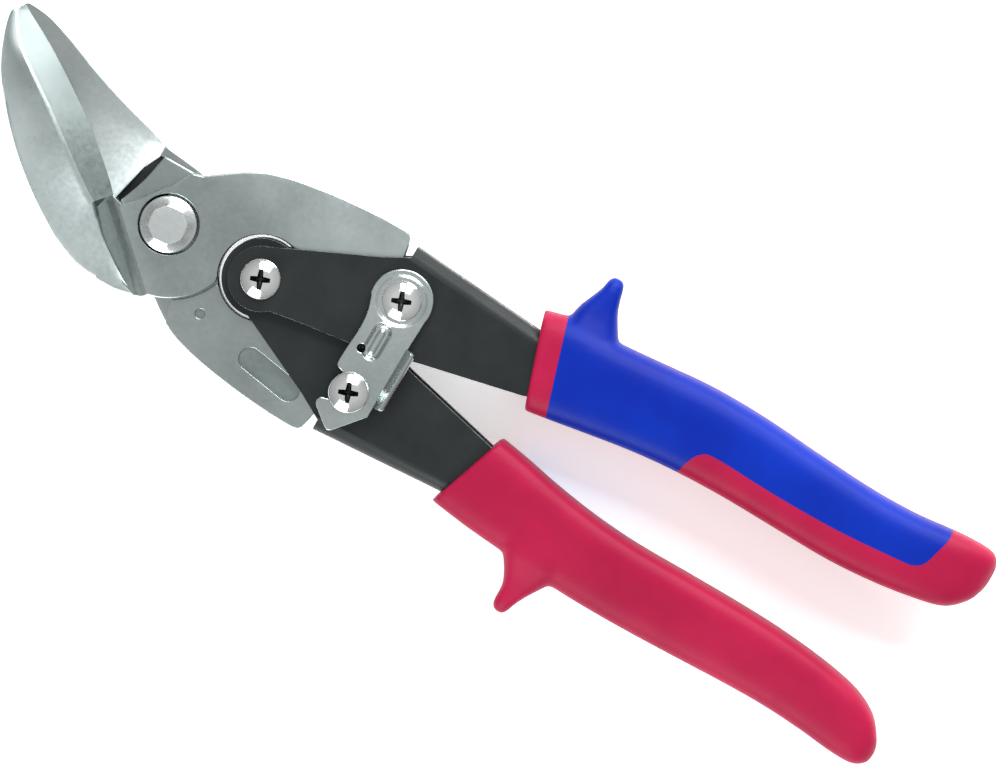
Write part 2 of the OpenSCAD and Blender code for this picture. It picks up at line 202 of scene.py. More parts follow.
# Darker steel laid as painted shade on the heel slope and on the floors of the tail's marks.
SHADE_PAINTED_STEEL = metal("painted_shade_steel", (0.20, 0.24, 0.235), (0.30, 0.35, 0.345), (0.35, 0.45))
BOLT = metal("bolt_steel", (0.62, 0.67, 0.665), (0.78, 0.82, 0.815), (0.24, 0.30))
SCREW = metal("plated_screw", (0.78, 0.80, 0.80), (0.88, 0.89, 0.89), (0.08, 0.14))
PRESSED = metal("latch_steel", (0.40, 0.46, 0.455), (0.54, 0.60, 0.59), (0.20, 0.30))
WIRE = metal("spring_steel", (0.30, 0.31, 0.32), (0.42, 0.43, 0.44), (0.25, 0.35))
# Near-black laid as painted shadow in the screws' cross recesses and on the relief plate behind the upper jaw.
SHADOW_BLACK = metal("painted_shadow_black", (0.02, 0.022, 0.022), (0.06, 0.065, 0.065), (0.45, 0.6))
LEVER = coated("lever_steel", (0.011, 0.0145, 0.0145), (0.018, 0.0225, 0.0225), (0.38, 0.5))
# Paler steel on the levers' rounded edges.
PALE_EDGE = metal("pale_edge_steel", (0.10, 0.11, 0.11), (0.38, 0.41, 0.41), (0.3, 0.4), cloud=300.0)
RED = moulded("red_grip", (0.30, 0.006, 0.040), (0.41, 0.011, 0.056), (0.42, 0.52))
BLUE = moulded("blue_grip", (0.0004, 0.014, 0.26), (0.0006, 0.025, 0.36), (0.40, 0.50))

SLOT_MATERIAL = {
    "blade_steel": STEEL, "bolt_steel": BOLT, "plated_screw": SCREW, "latch_steel": PRESSED,
    "spring_steel": WIRE, "lever_steel": LEVER, "red_grip": RED, "blue_grip": BLUE}
NODE_SLOT = {s["node"]: s["material_slot"] for s in frame["record"]["subparts"]}


def paint(thing, *materials):
    """Gives a piece these materials in place of its own."""
    thing.data.materials.clear()
    for material in materials:
        thing.data.materials.append(material)


def finish_node(node):
    """A carried-over CAD node: its slot's material, and small rounded edges, paler steel on levers."""
    thing = NODES[node]
    paint(thing, SLOT_MATERIAL[NODE_SLOT[node]])
    if NODE_SLOT[node] == "lever_steel":
        thing.data.materials.append(PALE_EDGE)
    weld = thing.modifiers.new("weld", "WELD")
    weld.merge_threshold = WELD_WITHIN * MM
    bevel = thing.modifiers.new("bevel", "BEVEL")
    bevel.width = EDGE_ROUND * MM
    bevel.segments = 2
    bevel.limit_method = "ANGLE"
    bevel.angle_limit = math.radians(EDGE_ANGLE)
    bevel.harden_normals = True
    if NODE_SLOT[node] == "lever_steel":
        bevel.material = 1


# ---------------------------------------------------------------- mesh helpers

# Outline points closer than this are one point
SAME_POINT = 0.02
# An offset corner moves at most the offset divided by this
MITRE_LIMIT = 0.6
# Lengths below this count as nothing
TINY = 1e-6
# The first cut of a plate's grid, as a share of a step, and how near a point is on a cut
GRID_START = 0.6
ON_CUT = 1e-5


def smooth_line(points, steps=6):
    """Catmull-Rom points through the given ones, which may have any number of values."""
    p = [np.array(q, float) for q in points]
    p = [2 * p[0] - p[1], *p, 2 * p[-1] - p[-2]]
    line = []
    for a, b, c, d in zip(p, p[1:], p[2:], p[3:]):
        for k in range(steps):
            t = k / steps
            line.append(0.5 * (2 * b + (c - a) * t + (2 * a - 5 * b + 4 * c - d) * t ** 2
                               + (3 * b - a - 3 * c + d) * t ** 3))
    return np.array([*line, p[-2]])


def arc(centre, radius, start, end, steps=24):
    """Points from one angle to another, in degrees; anticlockwise if end is above start."""
    angles = np.radians(np.linspace(start, end, steps))
    return np.stack([centre[0] + radius * np.cos(angles), centre[1] + radius * np.sin(angles)], 1)


def outline(*runs):
    """One closed outline from runs of points, without doubled points."""
    points = np.concatenate([np.array(r, float).reshape(-1, 2) for r in runs])
    keep = np.linalg.norm(points - np.roll(points, 1, 0), axis=1) > SAME_POINT
    return points[keep]


def circle(centre, radius, steps=48):
    """An anticlockwise round outline."""
    return arc(centre, radius, 0, 360, steps + 1)[:-1]


def edge_normals(points):
    """Outward unit normals of an anticlockwise outline's points, long enough to mitre."""
    d = np.roll(points, -1, 0) - points
    d /= np.linalg.norm(d, axis=1, keepdims=True)
    n = np.stack([d[:, 1], -d[:, 0]], 1)
    both = n + np.roll(n, 1, 0)
    both /= np.maximum(np.linalg.norm(both, axis=1, keepdims=True), TINY)
    return both / np.maximum((both * n).sum(1, keepdims=True), MITRE_LIMIT)


def piece(name, mesh_data, slot, body, *replaced, sharp=35):
    """A new piece from a mesh in millimetres; without a body it is a tool or settled later."""
    verts, faces = mesh_data
    mesh = bpy.data.meshes.new(name)
    place = (np.array(verts, float) * MM + (0, 0, MID_Z)).tolist()
    mesh.from_pydata(place, [], [tuple(int(i) for i in f) for f in faces])
    mesh.validate()
    turn_out(mesh)
    mesh.materials.append(SLOT_MATERIAL[slot])
    thing = bpy.data.objects.new(name, mesh)
    bpy.context.scene.collection.objects.link(thing)
    shade(thing, sharp)
    if body:
        settle(thing, slot, body, *replaced)
    return thing


def turn_out(mesh):
    """Turns every closed surface of a mesh to face outwards."""
    bm = bmesh.new()
    bm.from_mesh(mesh)
    bmesh.ops.recalc_face_normals(bm, faces=bm.faces)
    bm.to_mesh(mesh)
    bm.free()


def shade(thing, sharp):
    """Smooth shading but for edges sharper than an angle in degrees."""
    thing.data.shade_smooth()
    thing.data.set_sharp_from_angle(angle=math.radians(sharp))


def settle(thing, slot, body, *replaced):
    """Gives a finished piece its body, and hides the CAD nodes that it replaces; slot is not used."""
    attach(thing, body)
    if replaced:
        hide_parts(*replaced)


def even_normals(thing):
    """Flat parts shade flat, whatever the size of the faces round them."""
    thing.modifiers.new("normals", "WEIGHTED_NORMAL").keep_sharp = True


def flat(height):
    """A height function for one side of a plate."""
    return lambda x, y: np.full(len(x), height)


def filled_plan(loops, low, high, step):
    """Points, faces and boundary edges of the plan inside loops, cut into a grid of step."""
    bm = bmesh.new()
    edges = []
    for loop in loops:
        verts = [bm.verts.new((x, y, 0)) for x, y in loop]
        edges += [bm.edges.new((a, b)) for a, b in zip(verts, verts[1:] + verts[:1])]
    bmesh.ops.triangle_fill(bm, use_beauty=True, edges=edges)
    for axis, normal in enumerate(((1, 0, 0), (0, 1, 0))):
        for at in np.arange(low[axis] + step * GRID_START, high[axis], step):
            geometry = bm.verts[:] + bm.edges[:] + bm.faces[:]
            bmesh.ops.bisect_plane(bm, geom=geometry, dist=ON_CUT, plane_no=normal,
                                   plane_co=(at, at, 0))
    bmesh.ops.recalc_face_normals(bm, faces=bm.faces)
    bm.normal_update()
    if sum(f.normal.z for f in bm.faces) < 0:
        bmesh.ops.reverse_faces(bm, faces=bm.faces)
    bm.verts.index_update()
    plan = np.array([v.co[:2] for v in bm.verts])
    faces = [[v.index for v in f.verts] for f in bm.faces]
    rim = [(e.link_loops[0].vert.index, e.link_loops[0].link_loop_next.vert.index)
           for e in bm.edges if len(e.link_faces) == 1]
    bm.free()
    return plan, faces, rim


def rim_normals(plan, rim):
    """Outward normals of the plan's boundary points, long enough to mitre."""
    normal = np.zeros((len(plan), 2))
    for a, b in rim:
        d = plan[b] - plan[a]
        n = np.array([d[1], -d[0]]) / max(np.linalg.norm(d), TINY)
        normal[a] += n
        normal[b] += n
    length = np.linalg.norm(normal, axis=1, keepdims=True)
    return np.where(length > TINY, 2 * normal / np.maximum(length, TINY) ** 2, 0)


def plate(outer, holes, top, bottom, edge, step=1.0, rings=3):
    """Vertices and faces of a plate whose two sides follow height functions, with rounded edges."""
    loops = [outer - edge_normals(outer) * edge]
    loops += [hole + edge_normals(hole) * edge for hole in holes]
    plan, faces, rim = filled_plan(loops, outer.min(0), outer.max(0), step)
    count = len(plan)
    rim_verts = sorted({i for pair in rim for i in pair})
    slot_of = {v: k for k, v in enumerate(rim_verts)}
    on_rim = plan[rim_verts]
    outward = rim_normals(plan, rim)[rim_verts]
    x, y = plan.T
    heights = [top(x, y), bottom(x, y)]
    sheets = [np.column_stack([plan, h]) for h in heights]
    profile = []
    for k in range(1, rings + 1):
        angle = math.radians(90 * k / rings)
        profile.append((edge * math.sin(angle), edge * (1 - math.cos(angle))))
    bands = [np.column_stack([on_rim + outward * out, heights[0][rim_verts] - drop])
             for out, drop in profile]
    bands += [np.column_stack([on_rim + outward * out, heights[1][rim_verts] + drop])
              for out, drop in reversed(profile)]
    faces += [[i + count for i in reversed(f)] for f in faces]
    rows = [{v: v for v in rim_verts}]
    for k in range(len(bands)):
        start = 2 * count + k * len(rim_verts)
        rows.append({v: start + slot_of[v] for v in rim_verts})
    rows.append({v: v + count for v in rim_verts})
    for upper, lower in zip(rows, rows[1:]):
        faces += [[upper[b], upper[a], lower[a], lower[b]] for a, b in rim]
    return np.concatenate(sheets + bands), faces


def loft(rings):
    """Vertices and faces of a closed solid through rings, each anticlockwise seen from the last."""
    m, n = len(rings), len(rings[0])
    faces = [[i * n + k, (i + 1) * n + k, (i + 1) * n + (k + 1) % n, i * n + (k + 1) % n]
             for i in range(m - 1) for k in range(n)]
    faces += [list(range(n)), [(m - 1) * n + k for k in reversed(range(n))]]
    return np.concatenate(rings), faces


def wrapped(columns, start, end):
    """Vertices and faces of a solid with columns of points round an axis, and its two poles."""
    count, n = len(columns), len(columns[0])
    verts = [spot for column in columns for spot in column] + [start, end]
    faces = []
    for i in range(count):
        a, b = i * n, (i + 1) % count * n
        faces += [[a + k, b + k, b + k + 1, a + k + 1] for k in range(n - 1)]
        faces += [[count * n, b, a], [a + n - 1, b + n - 1, count * n + 1]]
    return verts, faces


def turned(profile, centre, steps):
    """Vertices and faces of a solid of revolution; profile runs from the axis back to it."""
    columns = [[(centre[0] + r * math.cos(a), centre[1] + r * math.sin(a), z)
                for r, z in profile[1:-1]] for a in np.radians(np.arange(steps) * 360 / steps)]
    return wrapped(columns, (*centre, profile[0][1]), (*centre, profile[-1][1]))


def flipped(mesh_data):
    """The same shape turned half round X, which makes one blade or grip the other's mate."""
    verts, faces = mesh_data
    return np.array(verts, float) * (1, -1, -1), faces


def bake(thing):
    """Replaces a piece's mesh by what its modifiers make of it."""
    depsgraph = bpy.context.evaluated_depsgraph_get()
    mesh = bpy.data.meshes.new_from_object(thing.evaluated_get(depsgraph))
    thing.modifiers.clear()
    thing.data = mesh


def boolean(target, tool, operation):
    """Applies one exact boolean and removes the tool."""
    step = target.modifiers.new("cut", "BOOLEAN")
    step.operation = operation
    step.solver = "EXACT"
    step.object = tool
    bake(target)
    bpy.data.objects.remove(tool)


def keep_apart(*meshes):
    """One vertex and face list from several."""
    verts, faces, start = [], [], 0
    for v, f in meshes:
        verts.append(np.array(v, float))
        faces += [[i + start for i in face] for face in f]
        start += len(v)
    return np.concatenate(verts), faces


# ---------------------------------------------------------------- blades

# Heights are those of the lower blade's root; the upper one's are the same, flipped
BOSS_TOP = 3.4
FACE_GAP = 0.03
# Parts of one forging that overlap keep their inner faces this far apart
STAGGER = 0.01
# The thicker part of the tail: where it starts and how far from the boss, its heights, and how
# far inside the rest it stays
THICK_FROM = 9.6
THICK_GAP = 0.4
THICK_TOP = BOSS_TOP - 0.6
TAIL_LOW = -1.3
INSET = 0.03
BOSS_R = 15.9
RELIEF_R = 9.4
TAIL_END_R = 7.5
HEAD_HOLE_R = 6.55
LINK_HOLE_R = 2.7
MARK_DEPTH = 0.6
# A jaw's cross-section: thickness at its rim and at its cutting edge, rounding of the rim, how
# hollow the slope is, and how far each face runs as shares of the way between its corners
RIM_T = 1.27
EDGE_T = 0.47
RIM_TURN = 0.3
SLOPE_POWER = 1.25
INNER_TO = 0.995
LAND_TO = 0.93
SLOPE_RUN = (0.035, 0.97)
# The heel: where its slope starts, the way that falls, how far below the boss and how steeply,
# then the height and the slope of the channel at its foot
HEEL_FROM = (-11.9, -1.9)
HEEL_WAY = (-0.678, -0.735)
HEEL_STEP = 0.06
HEEL_FALL = 0.82
CHANNEL_LOW = 1.3
CHANNEL_RISE = 0.12
# The upper jaw's hollow inner face: its depth, then where it starts, how far it takes to deepen
# and how slowly it does so, along the blade and across it
HOLLOW_DEPTH = 4.2
HOLLOW_ALONG = (-40, 27, 1.4)
HOLLOW_ACROSS = (-3, 17, 1.1)
# Heights of the filling under the heel, then of the upper blade's relief plate, painted black as shadow, and back
# rim
BASE_TOP = 0.9
RELIEF_LOW, RELIEF_TOP = -BOSS_TOP + 0.05, -2.9
BACK_LOW, BACK_TOP = -BOSS_TOP + 0.1, -0.5
# Where painted shade and light lie: the way the land slopes up in plan and where it ends (painted shade),
# the line between jaw and boss (painted highlight), and how far a face has to turn towards a direction to count as
# facing it
LAND_WAY = (0.57, 0.82)
LAND_END = -14
JAW_SPLIT = (0.21, -11.6)
FACING = 0.3


def tail_back():
    """The tail's outer edge, from the boss to its end."""
    run = smooth_line([(1.3, 12.7), (9.9, 18.8), (16.7, 21.5), (27, 23.4), (37.4, 24.4),
                       (44.6, 24.6)])
    return [*run, (45.8, 24.2), (46.4, 23.4), (46.9, 21.4), (47.4, 18.2)]


def tail_front():
    """The relief round the handle pivot and the tail's round end."""
    return [*arc(P1, RELIEF_R, 212, 81, 40), *arc(P2, TAIL_END_R, -102, 122, 40)]


def lower_root():
    """Boss and tail in plan."""
    return outline([(-11.4, -2), (3.2, -15.4)], arc((0, 0), BOSS_R, -77.5, -18.6, 30),
                   tail_front(), tail_back()[::-1], [(-1.1, 12), (-4.2, 6.8), (-8.3, 1.4)])


def upper_root():
    """As the lower one, but cut straight where the jaw's back runs over the boss."""
    return outline(smooth_line([(-11.7, 0.9), (-9.5, -5.3), (-8.1, -12)], 5), [(9.9, -12.2)],
                   arc((0, 0), BOSS_R, -50, -18.6, 24),
                   tail_front(), tail_back()[::-1], [(-1.1, 12), (-4.2, 6.8)])


def thick_outline():
    """The part of the tail that is thicker, past the boss."""
    back = [(x, y - INSET) for x, y in tail_back()[::-1] if x > THICK_FROM]
    return outline(arc((0, 0), BOSS_R + THICK_GAP, 59, 22, 24),
                   arc(P1, RELIEF_R + INSET, 138, 81, 24),
                   arc(P2, TAIL_END_R - INSET, -102, 122, 40), back)


def pill(centre, length, width, angle):
    """A long outline with round ends."""
    half = (length - width) / 2
    way = half * np.array((math.cos(math.radians(angle)), math.sin(math.radians(angle))))
    return outline(arc(centre + way, width / 2, angle - 90, angle + 90),
                   arc(centre - way, width / 2, angle + 90, angle + 270))


def root_meshes(root, marks=()):
    """Boss and tail; marks are shallow recesses in the tail's inner side."""
    main = plate(root, [circle((0, 0), HEAD_HOLE_R), circle(P2, LINK_HOLE_R, 32)],
                 flat(BOSS_TOP), flat(FACE_GAP), step=2.0, edge=0.35)
    thick = plate(thick_outline(), [circle(P2, LINK_HOLE_R + INSET, 32), *marks],
                  flat(THICK_TOP), flat(TAIL_LOW), step=4.0, edge=0.15)
    return keep_apart(main, thick)


# Outer rim, ridge and cutting edge in plan, the ridge's height, and how far the inner face
# is cut away
LOWER_JAW = [
    (-51.4, 24, -50.9, 24.5, -49.9, 25.1, 1.3, 0),
    (-52.2, 22, -50.9, 22.6, -48.5, 24.2, 2.4, 0),
    (-51, 17.2, -47.2, 17.7, -43.4, 21.5, 4.1, 0),
    (-48, 10.6, -41.4, 13.4, -37.5, 18, 4.9, 0),
    (-43, 4, -35.5, 9.4, -31, 13.7, 5.2, 0),
    (-36.5, -2.8, -30, 5.4, -25.2, 9.6, 5.3, 0),
    (-29, -8.9, -24.4, 1.3, -19.9, 5.2, 5, 0),
    (-21, -14.1, -19.2, -2.4, -15.6, 1.4, 4.3, 0),
    (-16.6, -16.2, -16.5, -4, -13.6, -0.7, 3.8, 0)]
# The same past the land's end, where only the slope outside the ridge goes on
LOWER_HEEL = [
    (-16.6, -16.2, -16.5, -4, -15.7, -3.4, 3.8, 0),
    (-12.5, -17.6, -14, -6.6, -13.2, -6, 3.3, 0),
    (-8, -18.15, -10.8, -9.7, -10.1, -9.2, 2.8, 0),
    (-3.5, -18, -6.4, -12.8, -5.8, -12.3, 2.4, 0),
    (0.6, -17, -2.2, -15.4, -1.7, -15, 2, 0)]
UPPER_JAW = [
    (-50.1, 25.7, -50.4, 25.1, -50.7, 24.6, 0.9, 0),
    (-48.6, 26, -49.6, 24.2, -50.2, 22.8, 1.4, 0),
    (-44.2, 25.5, -44.6, 21.4, -44.8, 17.6, 3.4, 0),
    (-38.6, 23.7, -38.6, 18, -38.4, 13, 4.8, 0),
    (-32, 21, -31.8, 14.4, -31.6, 8.6, 5.8, 0),
    (-25, 18.5, -24.8, 10.4, -24.2, 4, 5.8, 0),
    (-18.4, 16.5, -18.2, 8.5, -17.2, 0, 5.2, 0),
    (-10.2, 14.3, -13.6, 5.5, -13.7, -1.5, 4.4, 0),
    (-9.5, 14, -12.9, 5, -13.1, -1.8, 4.3, 0.1)]


def jaw_ring(station, near_face):
    """A jaw's cross-section: inner face, rounded rim, land, rounded ridge and hollow slope."""
    rim, ridge, cut = station[0:2], station[2:4], station[4:6]
    height, cut_away = station[6:8]

    def near(q):
        return near_face(q) + cut_away

    width = np.linalg.norm(cut - rim)
    inward = (cut - rim) / width
    rim_h = near(rim) + RIM_T
    edge_h = near(cut) + EDGE_T
    corner = [(RIM_TURN * (1 - math.sin(a)), RIM_TURN * (1 - math.cos(a)))
              for a in map(math.radians, (15, 45, 75))]
    ring = [(rim + inward * d, near(rim) + h) for d, h in corner[::-1]]
    ring += [(rim + (cut - rim) * t, near(rim + (cut - rim) * t))
             for t in np.linspace(RIM_TURN / width, INNER_TO, 12)]
    ring += [(cut + (ridge - cut) * t, edge_h + (height - edge_h) * t)
             for t in np.linspace(0, LAND_TO, 8)]
    ring += [(ridge + (rim - ridge) * t, rim_h + (height - rim_h) * (1 - t) ** SLOPE_POWER)
             for t in np.linspace(*SLOPE_RUN, 14)]
    ring += [(rim + inward * d, rim_h - h) for d, h in corner]
    return np.array([(*q, z) for q, z in ring])


def jaw_mesh(stations, steps, near_face):
    """A jaw through its stations; near_face gives the inner face's height at a place."""
    return loft([jaw_ring(s, near_face) for s in smooth_line(stations, steps)])


def level(height):
    """An inner face that lies at one height."""
    return lambda q: height


def ramp(value, low, high):
    """From 0 at low to 1 at high, with soft ends."""
    t = np.clip((value - low) / (high - low), 0, 1)
    return t * t * (3 - 2 * t)


def heel_outline():
    """The slope between the boss and the jaw's ridge, in plan."""
    return outline([(-15.9, -3.5), (-13.4, -0.9), (-11.6, -1.4), (-10.6, -1.8), (3.6, -14.7),
                    (3.0, -15.7), (2.5, -16.2), (0.9, -16.9), (-2, -16), (-6.2, -13.4),
                    (-11, -9.8), (-14.2, -6.6)])


def heel_top(x, y):
    """A slope down from the boss and a shallow channel beside the ridge."""
    from_boss = (x - HEEL_FROM[0]) * HEEL_WAY[0] + (y - HEEL_FROM[1]) * HEEL_WAY[1]
    top = BOSS_TOP - HEEL_STEP
    return np.maximum(np.minimum(top - HEEL_FALL * from_boss, top),
                      CHANNEL_LOW + CHANNEL_RISE * from_boss)


def make_lower_blade():
    """The lower forging with painted shade on its land, and the slope at its heel as a piece of its own painted
    darker as shade.
    """
    heel = plate(heel_outline(), [], heel_top, flat(FACE_GAP + 3 * STAGGER), step=0.5, edge=0.1)
    base = plate(outline([(-17.5, -5), (-14.6, -1.6), (-9, -3.5), (1.2, -13.2), (0.6, -16),
                          (-4, -15.4), (-9, -13.6), (-14, -10.5)]),
                 [], flat(BASE_TOP), flat(FACE_GAP + 4 * STAGGER), step=4.0, edge=0.1)
    # The heel slope is painted darker, as painted shade below the boss.
    slope = piece("heel_slope", heel, "blade_steel", "lower_blade")
    paint(slope, SHADE_PAINTED_STEEL)
    jaw = jaw_mesh(LOWER_JAW, 12, level(FACE_GAP + STAGGER))
    end = jaw_mesh(LOWER_HEEL, 10, level(FACE_GAP + 2 * STAGGER))
    blade = piece("lower_blade_forging", keep_apart(root_meshes(lower_root()), base, jaw, end),
                  "blade_steel", "lower_blade", "lower_blade")
    # Upward land faces of the jaw are painted darker, as painted shade.
    paint(blade, STEEL, LAND_SHADE_STEEL)
    for face in blade.data.polygons:
        uphill = LAND_WAY[0] * face.normal.x + LAND_WAY[1] * face.normal.y
        if face.center.x < LAND_END * MM and face.normal.z > FACING and uphill > FACING:
            face.material_index = 1


def upper_near_face(q):
    """Depth of the upper jaw's hollow inner face, which falls away to its back and its heel."""
    shares = []
    for value, (start, length, power) in zip(q, (HOLLOW_ALONG, HOLLOW_ACROSS)):
        shares.append(min(max((value - start) / length, 0), 1) ** power)
    return FACE_GAP + HOLLOW_DEPTH * shares[0] * shares[1]


def make_upper_blade():
    """The upper forging, its stamped marks with floors painted darker as shade, and the plate behind its jaw
    painted black as shadow.
    """
    marks = [pill(np.array((34.7, 17.2)), 15.5, 5, 8.6), circle((15.3, 13.4), 1.1, 24)]
    jaw_v, jaw_f = jaw_mesh(UPPER_JAW, 12, upper_near_face)
    back = plate(outline([(-14.5, 0), (-12, -4), (-7.5, -2.5), (-5.5, 3), (-1.5, 7), (3, 9),
                          (3, 12.3), (-8.4, 13)]),
                 [], flat(RELIEF_TOP), flat(RELIEF_LOW), step=3.0, edge=0.2)
    rim = plate(outline([(-9.2, 11.6), (3, 11.6), (3, 12.55), (0.3, 12.95), (-3, 13.35),
                         (-9.2, 13.95)]),
                [], flat(BACK_TOP), flat(BACK_LOW), step=3.0, edge=0.25)
    floors = [plate(m, [], flat(BOSS_TOP - 0.7), flat(TAIL_LOW + MARK_DEPTH), edge=0.01, rings=1)
              for m in marks]
    # The marks' floors are painted darker, as painted shade in the recesses.
    stamp = piece("tail_stamp", flipped(keep_apart(*floors)), "blade_steel", "upper_blade")
    paint(stamp, SHADE_PAINTED_STEEL)
    # The relief plate's upward faces are painted black as shadow; its downward faces keep the blade steel.
    shadow_plate = piece("blade_relief_painted_shadow", back, "blade_steel", "upper_blade")
    paint(shadow_plate, SHADOW_BLACK, STEEL)
    for face in shadow_plate.data.polygons:
        if face.normal.z < -FACING:
            face.material_index = 1
    root = flipped(root_meshes(upper_root(), marks))
    blade = piece("upper_blade_forging", keep_apart(root, (jaw_v * (1, 1, -1), jaw_f), rim),
                  "blade_steel", "upper_blade", "upper_blade")
    # Upward faces of the upper jaw get the lighter steel, as a painted highlight.
    paint(blade, STEEL, JAW_FACE_LIT)
    for face in blade.data.polygons:
        on_jaw = face.center.x < JAW_SPLIT[0] * face.center.y + JAW_SPLIT[1] * MM
        if on_jaw and face.normal.z > FACING:
            face.material_index = 1


make_lower_blade()
make_upper_blade()


# ---------------------------------------------------------------- bolt, screws and spring

# The bolt below its bevel as (radius, height), and the bevel as (share of the way from its foot
# to the flat, height); its ends; the radius of the bevel's foot and of the flat at the middle of
# a side; and the flat's turn
BOLT_SIDES = 96
BOLT_PROFILE = [(3.7, -9), (4, -8.7), (4, 2.3), (6.0, 2.4), (6.12, 2.6), (6.15, 4.1),
                (6.05, 4.35), (5.85, 4.5)]
BOLT_BEVEL = [(0.12, 4.62), (0.88, 5.98), (1.0, 6.1), (1.14, 6.16)]
BOLT_LOW, BOLT_HIGH = -9, 6.2
BEVEL_R = 5.75
FLAT_R = 4.05 * 0.955
FLAT_TURN = 0.3
# The cross-head screws; the dome is (radius, height over the seat), and a wing of the recess
# is (half length, half width, height from the dome's top)
SCREW_SIDES = 72
SCREW_R = 2.5
SCREW_CHAMFER = 0.3
HEAD_R = 4.4
HEAD_CHAMFER = 0.15
HEAD_SIDE = 0.5
DOME_H = 2.2
DOME = [(4.36, 0.62), (4.22, 0.78), (4.0, 0.93), (3.5, 1.22), (2.9, 1.54), (2.3, 1.82),
        (1.7, 2.03), (1.1, 2.14)]
# The dome falls by about this times the square of the distance from its middle
DOME_FALL = 0.085
WINGS = [(0.5, 0.25, -2.0), (1.1, 0.36, -1.7), (2.45, 0.62, 0), (2.8, 0.7, 0.6)]
# Shares of a wing's half width where it meets the next wing and at its end
WING_ROOT = 1.05
WING_TIP = 0.8
# Degrees that the recess is turned, and a radius that holds all of it
CROSS_TURN = 22
RECESS_R = 3
# Screws that carry a nut reach down to its lower face
NUT_DEPTH = 8.8
# The return spring
WIRE_R = 0.5
COIL_R = 4.2
COIL_PITCH = 1.05
COIL_STEP = 10
LEG_LENGTH = 14
LEG_ANGLE = 8


def make_bolt():
    """The main bolt: a rim sunk in the blade and a bevel up to a hammered eight-sided flat."""
    columns = []
    for i in range(BOLT_SIDES):
        a = 2 * math.pi * i / BOLT_SIDES
        side = (a + FLAT_TURN) % (math.pi / 4) - math.pi / 8
        flat_r = FLAT_R / math.cos(side)
        bevel = [(BEVEL_R + (flat_r - BEVEL_R) * t, z) for t, z in BOLT_BEVEL]
        columns.append([(r * math.cos(a), r * math.sin(a), z) for r, z in BOLT_PROFILE + bevel])
    piece("pivot_bolt_forged", wrapped(columns, (0, 0, BOLT_LOW), (0, 0, BOLT_HIGH)),
          "bolt_steel", "lower_blade", "pivot_bolt", sharp=28)


def cross_tool(centre, top):
    """A Phillips recess: four wings that narrow and deepen towards the middle."""
    rings = []
    for half, width, rise in WINGS:
        ring = []
        for k in range(4):
            a = math.radians(90 * k + CROSS_TURN)
            along = np.array((math.cos(a), math.sin(a)))
            side = np.array((-along[1], along[0]))
            ring += [centre + along * (width * WING_ROOT) - side * width,
                     centre + along * half - side * width * WING_TIP,
                     centre + along * half + side * width * WING_TIP]
        rings.append(np.array([(*q, top + rise) for q in ring]))
    return loft(rings)


def make_screw(name, body, at, seat, tip, neck, node):
    """Domed cross-head screw whose head sits on seat; neck is its radius above a height."""
    at = np.array(at)
    neck_r, neck_from = neck
    shank = [(0, tip), (SCREW_R - SCREW_CHAMFER, tip), (SCREW_R, tip + SCREW_CHAMFER),
             (SCREW_R, neck_from), (neck_r, neck_from + 0.01), (neck_r, seat)]
    head = [(HEAD_R - HEAD_CHAMFER, seat), (HEAD_R, seat + HEAD_CHAMFER),
            (HEAD_R, seat + HEAD_SIDE)]
    dome = [(r, seat + h) for r, h in DOME]
    profile = [*shank, *head, *dome, (0, seat + DOME_H)]
    thing = piece(name, turned(profile, at, SCREW_SIDES), "plated_screw", None, sharp=30)
    tool = piece("recess", cross_tool(at, seat + DOME_H), "plated_screw", None)
    boolean(thing, tool, "DIFFERENCE")
    shade(thing, 30)
    # Faces inside the cross recess are painted near-black, as shadow.
    paint(thing, SCREW, SHADOW_BLACK)
    for face in thing.data.polygons:
        x, y, z = face.center / MM
        off = math.hypot(x - at[0], y - at[1])
        skin = seat + DOME_H + 0.06 - DOME_FALL * off * off
        if off < RECESS_R and seat < z - MID_Z / MM < skin - 0.2:
            face.material_index = 1
    settle(thing, "plated_screw", body, node)


def wire(name, points, body, *replaced):
    """Round spring wire along points."""
    curve = bpy.data.curves.new(name, "CURVE")
    curve.dimensions = "3D"
    curve.bevel_depth = WIRE_R * MM
    curve.bevel_resolution = 6
    curve.use_fill_caps = True
    line = curve.splines.new("POLY")
    line.points.add(len(points) - 1)
    for spot, (x, y, z) in zip(line.points, points):
        spot.co = (x * MM, y * MM, z * MM + MID_Z, 1)
    curve.materials.append(SLOT_MATERIAL["spring_steel"])
    thing = bpy.data.objects.new(name, curve)
    bpy.context.scene.collection.objects.link(thing)
    settle(thing, "spring_steel", body, *replaced)


def make_spring():
    """Torsion spring; its second leg is a piece of its own that follows the lower handle."""
    def coil(start, end):
        angles = np.arange(start, end + 1, COIL_STEP)
        return [(P1.x + COIL_R * math.cos(t), P1.y + COIL_R * math.sin(t), h)
                for t, h in zip(np.radians(angles), (360 - angles) / 360 * COIL_PITCH)]

    def leg(start, side):
        a = math.radians(LEG_ANGLE) * side
        return (start[0] + LEG_LENGTH * math.cos(a), start[1] + LEG_LENGTH * math.sin(a),
                start[2])

    turns = coil(90, 630)
    wire("spring_coil", [leg(turns[0], 1), *turns], "upper_handle", "return_spring")
    rest = coil(540, 630)
    wire("spring_leg", [*rest, leg(rest[-1], -1)], "lower_handle")


make_bolt()
make_screw("handle_pivot_cross_screw", "upper_handle", P1, seat=5.5, tip=-NUT_DEPTH,
           neck=(SCREW_R, 0), node="handle_pivot_screw")
make_screw("upper_link_cross_screw", "upper_handle", P2, seat=7.4, tip=-6.7,
           neck=(SCREW_R, 0), node="upper_link_screw")
make_screw("lower_link_cross_screw", "lower_handle", P3, seat=7.95, tip=-NUT_DEPTH,
           neck=(1.8, 3.4), node="lower_link_screw")
make_spring()


# ---------------------------------------------------------------- latch

